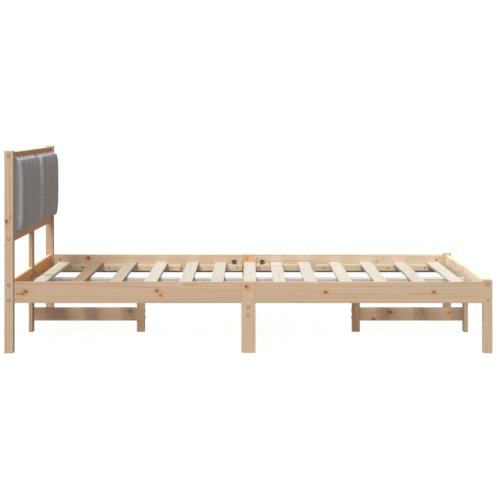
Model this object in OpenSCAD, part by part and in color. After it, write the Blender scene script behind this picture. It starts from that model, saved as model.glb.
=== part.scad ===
// Pine bed frame for a 120 x 200 cm mattress, with two padded headboard cushions.
// The bed stands on Z = 0 and is centred on X and Y.
// The head is at -X, the foot at +X; left (-Y) and right (+Y) are as seen from the foot.
// Millimetres.

/* [Overall size] */
// Length over the posts
overall_l = 2055; // [1955:10:2155]
// Width over the posts
overall_w = 1255; // [1155:10:1455]
// Height of the head posts
head_h = 852; // [840:1:920]
// Height of the foot posts
foot_h = 308; // [302:1:340]

/* [Posts and rails] */
// Side of the square corner posts
post_t = 38; // [36:1:45]
// Thickness of the rails, the centre legs and the braces
board_t = 18; // [18:1:20]
// Height of the side rails and the end rails
rail_h = 90; // [80:1:110]
// Height of the rails' top edge above the floor
rail_top = 300; // [290:1:300]
// Width of the legs in the middle of each side and each end
leg_w = 60; // [50:1:70]
// Radius of the eased edges of the timber
edge_r = 2; // [1:0.5:3]

/* [Headboard] */
// Height of the two headboard rails
head_rail_h = 60; // [50:1:65]
// Drop from the top of the posts to the top rail
top_rail_drop = 6; // [0:1:12]
// Height of the lower headboard rail's bottom edge above the floor
lower_rail_z = 465; // [440:1:470]

/* [Cushions] */
// Width of one cushion
cushion_w = 535; // [500:1:541]
// Height of one cushion
cushion_h = 324; // [300:1:325]
// Height of the cushions' bottom edge above the floor
cushion_z = 501; // [498:1:504]
// Thickness of the padding at its crown
cushion_t = 35; // [25:0.5:50]
// Number of upright channels in a cushion
channels = 5; // [4:1:7]
// How far the seams between the channels sink in
seam_depth = 8; // [5:1:15]
// Thickness of the backing boards
backing_t = 9; // [9:1:12]

/* [Slatted base] */
// Width of a slat
slat_w = 58; // [50:1:65]
// Thickness of a slat
slat_t = 13; // [12:1:16]
// Offset of the middle slat towards the foot
middle_shift = 7; // [0:1:10]
// Clearance between a slat's end and the side rail
slat_gap = 1.5; // [1:0.5:4]
// Pitch of the slats in the middle third of the bed
inner_pitch = 140; // [130:1:145]
// Pitch of the slats a quarter of the way from either end
mid_pitch = 157; // [145:1:160]
// Pitch of the slats at the head and at the foot
outer_pitch = 170; // [160:1:171]
// Height of the ledgers' undersides above the floor
ledger_z = 219; // [215:1:222]
// Height of the ledgers
ledger_h = 30; // [25:1:30]

/* [Support under the slats] */
// Width of the centre beam
beam_w = 60; // [50:1:60]
// Height of the centre beam
beam_h = 40; // [38:1:45]
// Height of the cross beam and of the low braces
brace_h = 60; // [55:1:65]
// Height of the low braces' undersides above the floor
brace_z = 51; // [40:1:60]
// Side of the square legs under the centre beam
mid_leg_t = 36; // [34:1:40]
// Distance of those legs from the middle of the bed
mid_leg_x = 499.5; // [495:0.5:505]

/* [Fasteners] */
// Radius of a bolt's shank
bolt_r = 3; // [2.5:0.5:3]
// Radius of a bolt's head
bolt_head_r = 5; // [5:0.5:6]
// Height of a bolt's head
bolt_head_h = 4; // [3:0.5:4]
// Radius of a dowel
dowel_r = 4; // [3:0.5:4]
// Length of a dowel
dowel_l = 30; // [24:1:30]

/* [Hidden] */
$fn = 32;

// Ends and sides of the bed, as signs of X and Y
HEAD = -1;
FOOT = 1;
LEFT = -1;
RIGHT = 1;
ENDS = [HEAD, FOOT];
SIDES = [LEFT, RIGHT];

// Colours of the finishes
pine = "#c8a98c";
slat_pine = "#ebe2d6";
plywood = "#c9a878";
fabric = "#736e6c";
steel = "#a3a3a0";

// Planes that the pieces share
post_x = (overall_l - post_t) / 2;
post_y = (overall_w - post_t) / 2;
post_in_x = overall_l / 2 - post_t;
post_in_y = overall_w / 2 - post_t;
end_in_x = post_x - board_t / 2;
end_out_x = post_x + board_t / 2;
side_in_y = post_y - board_t / 2;
side_out_y = post_y + board_t / 2;
rail_z = rail_top - rail_h;
ledger_top = ledger_z + ledger_h;
beam_z = ledger_top - beam_h;
cross_z = beam_z - brace_h;
slat_top = ledger_top + slat_t;
top_rail_top = head_h - top_rail_drop;
top_rail_z = top_rail_top - head_rail_h;
backing_front_x = -end_in_x + backing_t;

// Ledgers: a short one next to the side's centre leg and a long one out to the post
inner_ledger_x = [leg_w / 2 + 2, 320];
outer_ledger_x = [343, post_in_x - 14.5];
inner_ledger_screws = [57, 295];
outer_ledger_screws = [385, 705, 894];

// Slats: centres along the bed, from the middle outwards
half_slat_x = [
    inner_pitch, 2 * inner_pitch,
    2 * inner_pitch + mid_pitch, 2 * inner_pitch + 2 * mid_pitch,
    2 * inner_pitch + 2 * mid_pitch + outer_pitch,
    2 * inner_pitch + 2 * mid_pitch + 2 * outer_pitch
];
slat_x = concat([for (i = [5 : -1 : 0]) -half_slat_x[i]], [middle_shift], half_slat_x);
middle_slat = 6;
middle_screw_x = 12;
slat_y = side_in_y - slat_gap;

// Cushions: gap between each cushion and the post, and the backing board's inset
cushion_out_y = post_in_y - 14.5;
cushion_in_y = cushion_out_y - cushion_w;
backing_inset = 3;

// Bolts: how deep the heads sink, and the distance from a joint to its barrel nut
sink = bolt_head_h + 0.5;
counterbore_r = 7.2;
bolt_hole_r = bolt_r + 0.5;
nut_reach = 35;
bolt_tail = 6;
barrel_r = 5;
barrel_l = 15;
socket_r = 2.31;
long_bolt = post_t - sink + nut_reach + bolt_tail;
short_bolt = board_t - sink + nut_reach + bolt_tail;
mid_leg_bolt = mid_leg_t + nut_reach + bolt_tail;
beam_top_bolt = beam_h - sink + nut_reach + bolt_tail;

// Heights of the bolts and dowels
end_bolt_z = [rail_z + 13, rail_top - 13];
head_rail_bolt_z = [lower_rail_z + 15, top_rail_top - 15];
head_rail_dowel_z = [lower_rail_z + 45, top_rail_top - 45];
side_bolt_z = rail_top - 26;
side_dowel_z = rail_z + 26;
end_dowel_z = rail_z + 45;
leg_dowel_z = [rail_z + 13, rail_top - 15];
stud_z = rail_top - 38;
cross_bolt_z = [cross_z + 11, cross_z + brace_h - 16];
brace_bolt_z = [brace_z + 14, brace_z + 47];
beam_bolt_z = beam_z + 20;
beam_dowel_z = beam_z + 29;
beam_dowel_y = 18;

// Studs through the centre legs, and the half-moon pockets at their ends
stud_r = 3;
stud_l = 144;
pocket_near = 60;
pocket_r = 12.5;
pocket_flat = 12;
pocket_depth = 15.5;
washer_t = 4;
hex_nut_r = 5.77;
hex_nut_t = 5;

// Screws
screw_r = 1.75;
screw_head_r = 4;
pilot_r = 1.85;
slat_screw_l = 40;
ledger_screw_l = 30;
board_screw_l = 24;
board_screw_y = [95, 315, 535];
board_screw_z = [cushion_z + 13, top_rail_z + 19];
pan_head_h = 2.4;

// Every bolt is [centre under its head, direction, length, node]
BOLTS = concat(
    [for (e = ENDS, s = SIDES, z = end_bolt_z)
        [[e * post_x, s * (overall_w / 2 - sink), z], [0, -s, 0], long_bolt, "post"]],
    [for (s = SIDES, z = head_rail_bolt_z)
        [[-post_x, s * (overall_w / 2 - sink), z], [0, -s, 0], long_bolt, "post"]],
    [for (e = ENDS, s = SIDES)
        [[e * (overall_l / 2 - sink), s * post_y, side_bolt_z], [-e, 0, 0], long_bolt, "post"]],
    [for (e = ENDS, z = brace_bolt_z)
        [[e * (mid_leg_x - mid_leg_t / 2), 0, z], [e, 0, 0], mid_leg_bolt, "brace"]],
    [for (e = ENDS, z = brace_bolt_z)
        [[e * (end_out_x - sink), 0, z], [-e, 0, 0], short_bolt, "brace"]],
    [for (s = SIDES, z = cross_bolt_z)
        [[0, s * (side_out_y - sink), z], [0, -s, 0], short_bolt, "beam"]],
    [for (e = ENDS)
        [[e * (end_out_x - sink), 0, beam_bolt_z], [-e, 0, 0], short_bolt, "beam"]],
    [for (e = ENDS)
        [[e * mid_leg_x, 0, ledger_top - sink], [0, 0, -1], beam_top_bolt, "beam"]]
);

// Every barrel nut is [centre, direction in from the face, depth of its centre, bolt's direction]
BARRELS = concat(
    [for (e = ENDS, s = SIDES, z = end_bolt_z)
        [[e * post_x, s * (post_in_y - nut_reach), z], [e, 0, 0], board_t / 2, [0, -s, 0]]],
    [for (s = SIDES, z = head_rail_bolt_z)
        [[-post_x, s * (post_in_y - nut_reach), z], [1, 0, 0], board_t / 2, [0, -s, 0]]],
    [for (e = ENDS, s = SIDES)
        [[e * (post_in_x - nut_reach), s * post_y, side_bolt_z], [0, s, 0], board_t / 2, [-e, 0, 0]]],
    [for (e = ENDS, z = brace_bolt_z)
        [[e * (mid_leg_x + mid_leg_t / 2 + nut_reach), 0, z], [0, -1, 0], board_t / 2, [e, 0, 0]]],
    [for (e = ENDS, z = brace_bolt_z)
        [[e * (end_in_x - nut_reach), 0, z], [0, -1, 0], board_t / 2, [-e, 0, 0]]],
    [for (s = SIDES, z = cross_bolt_z)
        [[0, s * (side_in_y - nut_reach), z], [1, 0, 0], board_t / 2, [0, -s, 0]]],
    [for (e = ENDS)
        [[e * (end_in_x - nut_reach), 0, beam_bolt_z], [0, 0, 1], beam_bolt_z - beam_z, [-e, 0, 0]]],
    [for (e = ENDS)
        [[e * mid_leg_x, 0, beam_z - nut_reach], [0, -1, 0], mid_leg_t / 2, [0, 0, -1]]]
);

// Every stud is [centre, direction along it, direction in from the face with the pockets]
STUDS = concat(
    [for (s = SIDES) [[0, s * post_y, stud_z], [1, 0, 0], [0, s, 0]]],
    [for (e = ENDS) [[e * post_x, 0, stud_z], [0, 1, 0], [e, 0, 0]]]
);

// Every dowel is [centre, direction]
DOWELS = concat(
    [for (e = ENDS, s = SIDES) [[e * post_in_x, s * post_y, side_dowel_z], [1, 0, 0]]],
    [for (e = ENDS, s = SIDES) [[e * post_x, s * post_in_y, end_dowel_z], [0, 1, 0]]],
    [for (s = SIDES, z = head_rail_dowel_z) [[-post_x, s * post_in_y, z], [0, 1, 0]]],
    [for (e = ENDS, s = SIDES, z = leg_dowel_z) [[e * leg_w / 2, s * post_y, z], [1, 0, 0]]],
    [for (e = ENDS, s = SIDES, z = leg_dowel_z) [[e * post_x, s * leg_w / 2, z], [0, 1, 0]]],
    [for (e = ENDS, s = SIDES) [[e * end_in_x, s * beam_dowel_y, beam_dowel_z], [1, 0, 0]]],
    [for (s = SIDES) [[0, s * beam_dowel_y, beam_bolt_z], [1, 0, 0]]],
    [for (s = SIDES, z = [lower_rail_z, lower_rail_z + head_rail_h, top_rail_z])
        [[-post_x, s * beam_dowel_y, z], [0, 0, 1]]]
);

// Every countersunk screw is [centre of its head's face, direction, length, node]
SCREWS = concat(
    [for (i = [0 : len(slat_x) - 1])
        [[i == middle_slat ? middle_screw_x : slat_x[i], 0, slat_top], [0, 0, -1], slat_screw_l, "slat"]],
    [for (e = ENDS, s = SIDES, x = concat(inner_ledger_screws, outer_ledger_screws))
        [[e * x, s * (side_in_y - board_t), ledger_z + ledger_h / 2], [0, s, 0],
            ledger_screw_l, "ledger"]]
);

// Every pan-head screw of the backing boards is [centre under its head, direction, length]
PAN_SCREWS = [
    for (s = SIDES, y = board_screw_y, z = board_screw_z) [[-end_out_x, s * y, z], [1, 0, 0], board_screw_l]
];

// True where a rod from p to q, of radius r, passes through the box from lo to hi
function overlaps(p, q, r, lo, hi) =
    len([for (k = [0 : 2]) if (min(p[k], q[k]) - r < hi[k] && max(p[k], q[k]) + r > lo[k]) k]) == 3;

// Lowest and highest corner of the box between two opposite corners
function low(a, b) = [for (k = [0 : 2]) min(a[k], b[k])];
function high(a, b) = [for (k = [0 : 2]) max(a[k], b[k])];

// Share of a cushion's depth from its middle (s = 0) to its edge (s = 1 or -1)
function roll(s, power, root) = pow(max(0, 1 - pow(abs(s), power)), root);

// Turns something that points along +Z so that it points along an axis
module aim(at, direction) {
    turn = direction[0] != 0 ? [0, 90 * direction[0], 0]
         : direction[1] != 0 ? [-90 * direction[1], 0, 0]
         : [direction[2] < 0 ? 180 : 0, 0, 0];
    translate(at) rotate(turn) children();
}

// Rectangle with rounded corners
module rounded_rectangle(w, h, r) {
    translate([r, 0]) square([w - 2 * r, h]);
    translate([0, r]) square([w, h - 2 * r]);
    for (x = [r, w - r], y = [r, h - r]) translate([x, y]) circle(r);
}

// Straight piece of timber between two corners, its long edges eased
module bar(lo, hi, axis, r = edge_r) {
    d = hi - lo;
    translate(lo) {
        if (axis == "x")
            rotate([90, 0, 90]) linear_extrude(d[0]) rounded_rectangle(d[1], d[2], r);
        if (axis == "y")
            rotate([-90, 0, 0]) rotate([0, 0, -90]) linear_extrude(d[1])
                rounded_rectangle(d[2], d[0], r);
        if (axis == "z")
            linear_extrude(d[2]) rounded_rectangle(d[0], d[1], r);
    }
}

// Hole of a bolt, with the counterbore for its head
module bolt_hole(bolt) {
    aim(bolt[0], bolt[1]) {
        translate([0, 0, -1]) cylinder(r = bolt_hole_r, h = bolt[2] + 2);
        translate([0, 0, -bolt_head_h - 6]) cylinder(r = counterbore_r, h = bolt_head_h + 6);
    }
}

// Cross hole of a barrel nut, open towards the face that it goes in by
module barrel_hole(barrel) {
    aim(barrel[0] - (barrel[2] + 1) * barrel[1], barrel[1])
        cylinder(r = barrel_r + 0.1, h = barrel[2] + 1 + barrel_l / 2 + 0.2);
}

// Hole of a stud, with a half-moon pocket near each of its ends
module stud_hole(stud) {
    reach = pocket_near + pocket_flat;
    aim(stud[0] - reach * stud[1], stud[1]) cylinder(r = stud_r + 0.5, h = 2 * reach);
    for (end = [-1, 1]) half_moon_pocket(stud, end);
}

module half_moon_pocket(stud, end) {
    face = stud[0] - (board_t / 2 + 1) * stud[2];
    floor_depth = pocket_depth + 1;
    centre = face + end * (pocket_near + pocket_flat) * stud[1];
    aim(centre, stud[2]) cylinder(r = pocket_r, h = floor_depth);
    a = face + end * pocket_near * stud[1] - [0, 0, pocket_r];
    b = centre + [0, 0, pocket_r] + floor_depth * stud[2];
    translate(low(a, b)) cube(high(a, b) - low(a, b));
}

module dowel_hole(dowel) {
    length = dowel_l + 2;
    aim(dowel[0] - length / 2 * dowel[1], dowel[1]) cylinder(r = dowel_r + 0.1, h = length);
}

// Pilot hole with a countersink
module screw_hole(screw) {
    aim(screw[0], screw[1]) {
        cylinder(r = pilot_r, h = screw[2] + 0.5);
        translate([0, 0, -1]) cylinder(r = screw_head_r + 0.1, h = 1.3);
        translate([0, 0, 0.3])
            cylinder(r1 = screw_head_r + 0.1, r2 = pilot_r, h = screw_head_r - pilot_r);
    }
}

// Timber between two corners, drilled for every fastener that passes through it
module timber(corner_a, corner_b, axis, r = edge_r) {
    lo = low(corner_a, corner_b);
    hi = high(corner_a, corner_b);
    difference() {
        bar(lo, hi, axis, r);
        for (b = BOLTS)
            if (overlaps(b[0] - bolt_head_h * b[1], b[0] + b[2] * b[1], 0, lo, hi)) bolt_hole(b);
        for (n = BARRELS)
            if (overlaps(n[0], n[0], 0, lo, hi)) barrel_hole(n);
        for (s = STUDS)
            if (overlaps(s[0] - stud_l / 2 * s[1], s[0] + stud_l / 2 * s[1], 0, lo, hi)) stud_hole(s);
        for (d = DOWELS)
            if (overlaps(d[0] - dowel_l / 2 * d[1], d[0] + dowel_l / 2 * d[1], 0, lo, hi))
                dowel_hole(d);
        for (s = SCREWS)
            if (overlaps(s[0], s[0] + s[2] * s[1], 0, lo, hi)) screw_hole(s);
        for (s = PAN_SCREWS)
            if (overlaps(s[0], s[0] + s[2] * s[1], 0, lo, hi))
                aim(s[0] - s[1], s[1]) cylinder(r = pilot_r, h = s[2] + 1.5);
    }
}

// Corner post, eased at its top and foot as well
module post(end, side, height) {
    lo = [end * post_x - post_t / 2, side * post_y - post_t / 2, 0];
    hi = lo + [post_t, post_t, height];
    color(pine) intersection() {
        timber(lo, hi, "z");
        bar(lo, hi, "x");
        bar(lo, hi, "y");
    }
}

// Rail of the headboard, between the two head posts
module headboard_rail(z) {
    color(pine)
        timber([-end_out_x, -post_in_y, z], [-end_in_x, post_in_y, z + head_rail_h], "y");
}

// Short post between the two headboard rails, over the leg in the middle of the head
module headboard_centre_post() {
    color(pine) timber([-end_out_x, -leg_w / 2, lower_rail_z + head_rail_h],
        [-end_in_x, leg_w / 2, top_rail_z], "z");
}

// Plywood board behind a cushion, screwed to the front of both headboard rails
module cushion_board(side) {
    color(plywood)
        timber([-end_in_x, side * (cushion_in_y + backing_inset), cushion_z + backing_inset],
            [backing_front_x, side * (cushion_out_y - backing_inset),
                cushion_z + cushion_h - backing_inset], "x", 1);
}

// Padding of a cushion: upright channels that swell between their seams, rolled over at
// the edges, with the top and bottom edge drawn in at each seam
module cushion(side) {
    steps = 8;
    rows = 20;
    columns = channels * steps;
    channel_w = cushion_w / channels;
    edge_t = 4;
    seam_draw = 5;
    corner_draw = 6;
    side_power = 30;
    end_power = 10;
    middle = [backing_front_x, side * (cushion_in_y + cushion_out_y) / 2, cushion_z + cushion_h / 2];
    across = [for (i = [0 : columns])
        (floor(i / steps) + (1 - cos(180 * (i % steps) / steps)) / 2) * channel_w - cushion_w / 2];
    swell = [for (i = [0 : columns])
        i < steps / 2 || i > columns - steps / 2 ? 1 : sin(180 * (i % steps) / steps)];
    front = [for (j = [0 : rows], i = [0 : columns])
        let (
            s = 2 * across[i] / cushion_w,
            t = sin(180 * j / rows - 90),
            seam = 1 - swell[i],
            full = cushion_t - edge_t - seam_depth * seam,
            depth = edge_t + full * roll(s, side_power, 0.5) * roll(t, 2, 0.14),
            y = across[i] - corner_draw * s * pow(abs(t), end_power),
            z = t * (cushion_h / 2 - seam_draw * seam * pow(abs(t), 4)
                - corner_draw * pow(abs(s), side_power))
        )
        middle + [depth, y, z]];
    row = columns + 1;
    rim = concat(
        [for (i = [0 : columns - 1]) i],
        [for (j = [0 : rows - 1]) j * row + columns],
        [for (i = [columns : -1 : 1]) rows * row + i],
        [for (j = [rows : -1 : 1]) j * row]
    );
    back = [for (k = rim) [middle[0], front[k][1], front[k][2]]];
    first = len(front);
    count = len(rim);
    hub = first + count;
    faces = concat(
        [for (j = [0 : rows - 1], i = [0 : columns - 1])
            [j * row + i, (j + 1) * row + i, (j + 1) * row + i + 1]],
        [for (j = [0 : rows - 1], i = [0 : columns - 1])
            [j * row + i, (j + 1) * row + i + 1, j * row + i + 1]],
        [for (k = [0 : count - 1]) [rim[k], rim[(k + 1) % count], first + k]],
        [for (k = [0 : count - 1]) [rim[(k + 1) % count], first + (k + 1) % count, first + k]],
        [for (k = [0 : count - 1]) [first + k, first + (k + 1) % count, hub]]
    );
    color(fabric) polyhedron(concat(front, back, [middle]), faces, convexity = 6);
}

// Leg in the middle of an end, between the two halves of the end rail
module end_leg(end, top) {
    color(pine) timber([end * end_in_x, -leg_w / 2, 0], [end * end_out_x, leg_w / 2, top], "z");
}

module end_rail(end, side) {
    color(pine) timber([end * end_in_x, side * leg_w / 2, rail_z],
        [end * end_out_x, side * post_in_y, rail_top], "y");
}

// Leg in the middle of a side, between the two halves of the side rail
module side_leg(side) {
    color(pine) timber([-leg_w / 2, side * side_in_y, 0], [leg_w / 2, side * side_out_y, rail_top], "z");
}

module side_rail(end, side) {
    color(pine) timber([end * leg_w / 2, side * side_in_y, rail_z],
        [end * post_in_x, side * side_out_y, rail_top], "x");
}

// Ledger on the inside of a side rail, which carries the ends of the slats
module ledger(end, side, reach) {
    color(pine) timber([end * reach[0], side * (side_in_y - board_t), ledger_z],
        [end * reach[1], side * side_in_y, ledger_top], "x");
}

// Half of the beam under the middle of the slats
module centre_beam(end) {
    color(pine) timber([0, -beam_w / 2, beam_z], [end * end_in_x, beam_w / 2, ledger_top], "x");
}

// Beam across the bed under the joint of the centre beam
module cross_beam() {
    color(pine) timber([-board_t / 2, -side_in_y, cross_z], [board_t / 2, side_in_y, beam_z], "y");
}

module mid_leg(end) {
    lo = [end * mid_leg_x - mid_leg_t / 2, -mid_leg_t / 2, 0];
    color(pine) timber(lo, lo + [mid_leg_t, mid_leg_t, beam_z], "z");
}

// Low brace between a leg under the centre beam and the leg at the end of the bed
module low_brace(end) {
    color(pine) timber([end * (mid_leg_x + mid_leg_t / 2), -board_t / 2, brace_z],
        [end * end_in_x, board_t / 2, brace_z + brace_h], "x");
}

module slat(number) {
    x = slat_x[number - 1];
    color(slat_pine) timber([x - slat_w / 2, -slat_y, ledger_top],
        [x + slat_w / 2, slat_y, slat_top], "y", 1.5);
}

// Bolt with a round head and a hexagon socket
module bolt(length) {
    difference() {
        union() {
            cylinder(r = bolt_r, h = length);
            translate([0, 0, -bolt_head_h]) cylinder(r = bolt_head_r, h = bolt_head_h);
        }
        translate([0, 0, -bolt_head_h - 1]) cylinder(r = socket_r, h = bolt_head_h, $fn = 6);
    }
}

module bolts(where) {
    color(steel) for (b = BOLTS) if (b[3] == where) aim(b[0], b[1]) bolt(b[2]);
}

// Barrel nuts: short rods with a cross bore for the bolt and a screwdriver slot
module barrel_nuts() {
    slot_w = 1.4;
    slot_depth = 1.5;
    color(steel) for (n = BARRELS) difference() {
        aim(n[0] - barrel_l / 2 * n[1], n[1]) difference() {
            cylinder(r = barrel_r, h = barrel_l);
            translate([-barrel_r - 1, -slot_w / 2, -1])
                cube([2 * barrel_r + 2, slot_w, slot_depth + 1]);
        }
        aim(n[0] - 2 * barrel_r * n[3], n[3]) cylinder(r = bolt_r + 0.1, h = 4 * barrel_r);
    }
}

module leg_studs() {
    color(steel) for (s = STUDS)
        aim(s[0] - stud_l / 2 * s[1], s[1]) cylinder(r = stud_r, h = stud_l);
}

// Washer and hexagon nut in each half-moon pocket
module half_moon_nuts() {
    washer_h = 20;
    washer_d = 11;
    color(steel) for (s = STUDS, end = [-1, 1]) {
        seat = s[0] + end * pocket_near * s[1];
        a = seat - washer_d / 2 * s[2] - [0, 0, washer_h / 2];
        b = seat + washer_d / 2 * s[2] + [0, 0, washer_h / 2] + end * washer_t * s[1];
        difference() {
            translate(low(a, b)) cube(high(a, b) - low(a, b));
            aim(seat - end * s[1], end * s[1]) cylinder(r = stud_r + 0.1, h = washer_t + 2);
        }
        aim(seat + end * washer_t * s[1], end * s[1]) difference() {
            cylinder(r = hex_nut_r, h = hex_nut_t, $fn = 6);
            translate([0, 0, -1]) cylinder(r = stud_r + 0.1, h = hex_nut_t + 2);
        }
    }
}

module dowels() {
    color(pine) for (d = DOWELS)
        aim(d[0] - dowel_l / 2 * d[1], d[1]) cylinder(r = dowel_r, h = dowel_l);
}

// Slots of a cross recess, cut into a screw's head from below
module cross_recess(depth) {
    arm_w = 1;
    arm_l = 4.4;
    for (turn = [0, 90]) rotate([0, 0, turn])
        translate([-arm_l / 2, -arm_w / 2, -1]) cube([arm_l, arm_w, depth + 1]);
}

// Countersunk wood screw with its head's face at Z = 0
module wood_screw(length) {
    point_l = 4;
    difference() {
        union() {
            cylinder(r = screw_head_r, h = 0.3);
            translate([0, 0, 0.3])
                cylinder(r1 = screw_head_r, r2 = screw_r, h = screw_head_r - screw_r);
            cylinder(r = screw_r, h = length - point_l);
            translate([0, 0, length - point_l]) cylinder(r1 = screw_r, r2 = 0.3, h = point_l);
        }
        cross_recess(1.4);
    }
}

module wood_screws(where) {
    color(steel) for (s = SCREWS) if (s[3] == where) aim(s[0], s[1]) wood_screw(s[2]);
}

// Pan-head screws that hold the backing boards, driven in from behind the headboard
module board_screws() {
    color(steel) for (s = PAN_SCREWS) aim(s[0], s[1]) difference() {
        union() {
            translate([0, 0, -pan_head_h]) cylinder(r = screw_head_r, h = pan_head_h);
            cylinder(r = screw_r, h = s[2]);
        }
        translate([0, 0, -pan_head_h]) cross_recess(1.4);
    }
}

post(HEAD, LEFT, head_h);  // head_post_left
post(HEAD, RIGHT, head_h);  // head_post_right
post(FOOT, LEFT, foot_h);  // foot_post_left
post(FOOT, RIGHT, foot_h);  // foot_post_right
headboard_rail(top_rail_z);  // headboard_top_rail
headboard_rail(lower_rail_z);  // headboard_lower_rail
headboard_centre_post();
cushion_board(LEFT);  // cushion_board_left
cushion_board(RIGHT);  // cushion_board_right
cushion(LEFT);  // cushion_left
cushion(RIGHT);  // cushion_right
end_leg(HEAD, lower_rail_z);  // head_centre_leg
end_rail(HEAD, LEFT);  // head_end_rail_left
end_rail(HEAD, RIGHT);  // head_end_rail_right
end_leg(FOOT, rail_top);  // foot_centre_leg
end_rail(FOOT, LEFT);  // foot_end_rail_left
end_rail(FOOT, RIGHT);  // foot_end_rail_right
side_leg(LEFT);  // side_leg_left
side_leg(RIGHT);  // side_leg_right
side_rail(HEAD, LEFT);  // side_rail_head_left
side_rail(HEAD, RIGHT);  // side_rail_head_right
side_rail(FOOT, LEFT);  // side_rail_foot_left
side_rail(FOOT, RIGHT);  // side_rail_foot_right
ledger(HEAD, LEFT, outer_ledger_x);  // ledger_head_left
ledger(HEAD, RIGHT, outer_ledger_x);  // ledger_head_right
ledger(FOOT, LEFT, outer_ledger_x);  // ledger_foot_left
ledger(FOOT, RIGHT, outer_ledger_x);  // ledger_foot_right
ledger(HEAD, LEFT, inner_ledger_x);  // inner_ledger_head_left
ledger(HEAD, RIGHT, inner_ledger_x);  // inner_ledger_head_right
ledger(FOOT, LEFT, inner_ledger_x);  // inner_ledger_foot_left
ledger(FOOT, RIGHT, inner_ledger_x);  // inner_ledger_foot_right
centre_beam(HEAD);  // centre_beam_head
centre_beam(FOOT);  // centre_beam_foot
cross_beam();
mid_leg(HEAD);  // mid_leg_head
mid_leg(FOOT);  // mid_leg_foot
low_brace(HEAD);  // low_brace_head
low_brace(FOOT);  // low_brace_foot
slat(1);  // slat_01
slat(2);  // slat_02
slat(3);  // slat_03
slat(4);  // slat_04
slat(5);  // slat_05
slat(6);  // slat_06
slat(7);  // slat_07
slat(8);  // slat_08
slat(9);  // slat_09
slat(10);  // slat_10
slat(11);  // slat_11
slat(12);  // slat_12
slat(13);  // slat_13
bolts("post");  // post_bolts
bolts("brace");  // brace_bolts
bolts("beam");  // beam_bolts
barrel_nuts();
leg_studs();
half_moon_nuts();
dowels();
wood_screws("slat");  // slat_screws
wood_screws("ledger");  // ledger_screws
board_screws();
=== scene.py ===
# %% [markdown]
# # A pine bed frame with two padded headboard cushions
# The posts, rails, slats, beams, bolts and screws come packed from the construction model, in
# metres and in place. This lesson dresses them: it sets up the camera and the light, gives every
# board its own piece of pine, and makes the two cushions as sewn and stuffed fabric.

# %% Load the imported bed
import math
import random

import bmesh
import bpy
from mathutils import Euler, Matrix, Vector


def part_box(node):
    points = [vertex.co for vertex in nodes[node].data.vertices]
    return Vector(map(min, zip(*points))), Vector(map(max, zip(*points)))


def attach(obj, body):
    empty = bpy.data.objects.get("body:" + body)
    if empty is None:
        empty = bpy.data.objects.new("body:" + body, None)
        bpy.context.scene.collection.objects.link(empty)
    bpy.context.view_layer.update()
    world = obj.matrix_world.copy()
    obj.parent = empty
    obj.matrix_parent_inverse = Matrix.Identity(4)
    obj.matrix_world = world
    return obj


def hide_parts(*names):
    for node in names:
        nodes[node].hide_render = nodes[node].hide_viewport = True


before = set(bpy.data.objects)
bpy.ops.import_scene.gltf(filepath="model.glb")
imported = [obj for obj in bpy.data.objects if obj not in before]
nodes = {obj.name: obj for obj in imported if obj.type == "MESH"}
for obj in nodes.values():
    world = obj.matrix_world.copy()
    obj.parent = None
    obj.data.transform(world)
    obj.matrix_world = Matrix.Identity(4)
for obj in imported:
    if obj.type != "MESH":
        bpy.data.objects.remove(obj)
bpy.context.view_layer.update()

# %% [markdown]
# ## Camera
# The photograph is a level side view from about six and a half metres away, a little above the top
# of the headboard. A level camera keeps the posts upright, so the view is moved down to the bed with
# the lens shift instead of a tilt, as an architectural photographer does.

# %% Camera
camera = bpy.data.objects.new("camera", bpy.data.cameras.new("camera"))
bpy.context.scene.collection.objects.link(camera)
camera.location = (0.0, -6.5775, 0.976)
camera.rotation_euler = (math.radians(90), 0.0, 0.0)
camera.data.sensor_width = 36.0
camera.data.lens = 101.8
camera.data.shift_x = 0.0033
camera.data.shift_y = -0.257
bpy.context.scene.camera = camera
print(f"camera {camera.location.y:.2f} m from the middle of the bed, lens {camera.data.lens} mm")

# %% [markdown]
# ## Node helpers
# Every finish below is a small network of shader nodes. These helpers keep it readable: one adds a
# node and wires or sets its inputs, the others make the three nodes that are needed most, a mix, a
# colour ramp and a stretched noise. Colours are written as on a screen, from 0 to 255.


# %% Node helpers
def screen(red, green, blue):
    """Linear colour of a colour as written on a screen."""
    parts = [c / 255 for c in (red, green, blue)]
    linear = [((c + 0.055) / 1.055) ** 2.4 if c > 0.04 else c / 12.92 for c in parts]
    return (*linear, 1.0)


def add(tree, kind, inputs=None, **settings):
    """A new node. An input is either another node's output or a value."""
    made = tree.nodes.new(kind)
    for name, value in settings.items():
        setattr(made, name, value)
    for socket, value in (inputs or {}).items():
        if isinstance(value, bpy.types.NodeSocket):
            tree.links.new(value, made.inputs[socket])
        else:
            made.inputs[socket].default_value = value
    return made


def maths(tree, operation, a, b=0.0, c=0.0):
    return add(tree, "ShaderNodeMath", {0: a, 1: b, 2: c}, operation=operation).outputs[0]


def vectors(tree, operation, a, b=(0.0, 0.0, 0.0)):
    made = add(tree, "ShaderNodeVectorMath", {0: a, 1: b}, operation=operation)
    return made.outputs["Value" if operation in ("LENGTH", "DOT_PRODUCT") else "Vector"]


def mix(tree, factor, a, b, blend="MIX"):
    """Mix of two colours. Inputs 6 and 7 of the node are its colours."""
    made = add(tree, "ShaderNodeMix", {0: factor, 6: a, 7: b}, data_type="RGBA", blend_type=blend)
    return made.outputs[2]


def ramp(tree, factor, stops, smooth=False):
    """Colour ramp through (place, colour) stops."""
    made = add(tree, "ShaderNodeValToRGB", {"Fac": factor})
    made.color_ramp.interpolation = "EASE" if smooth else "LINEAR"
    elements = made.color_ramp.elements
    while len(elements) < len(stops):
        elements.new(0.5)
    for element, (place, colour) in zip(elements, stops):
        element.position = place
        element.color = colour
    return made


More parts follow.
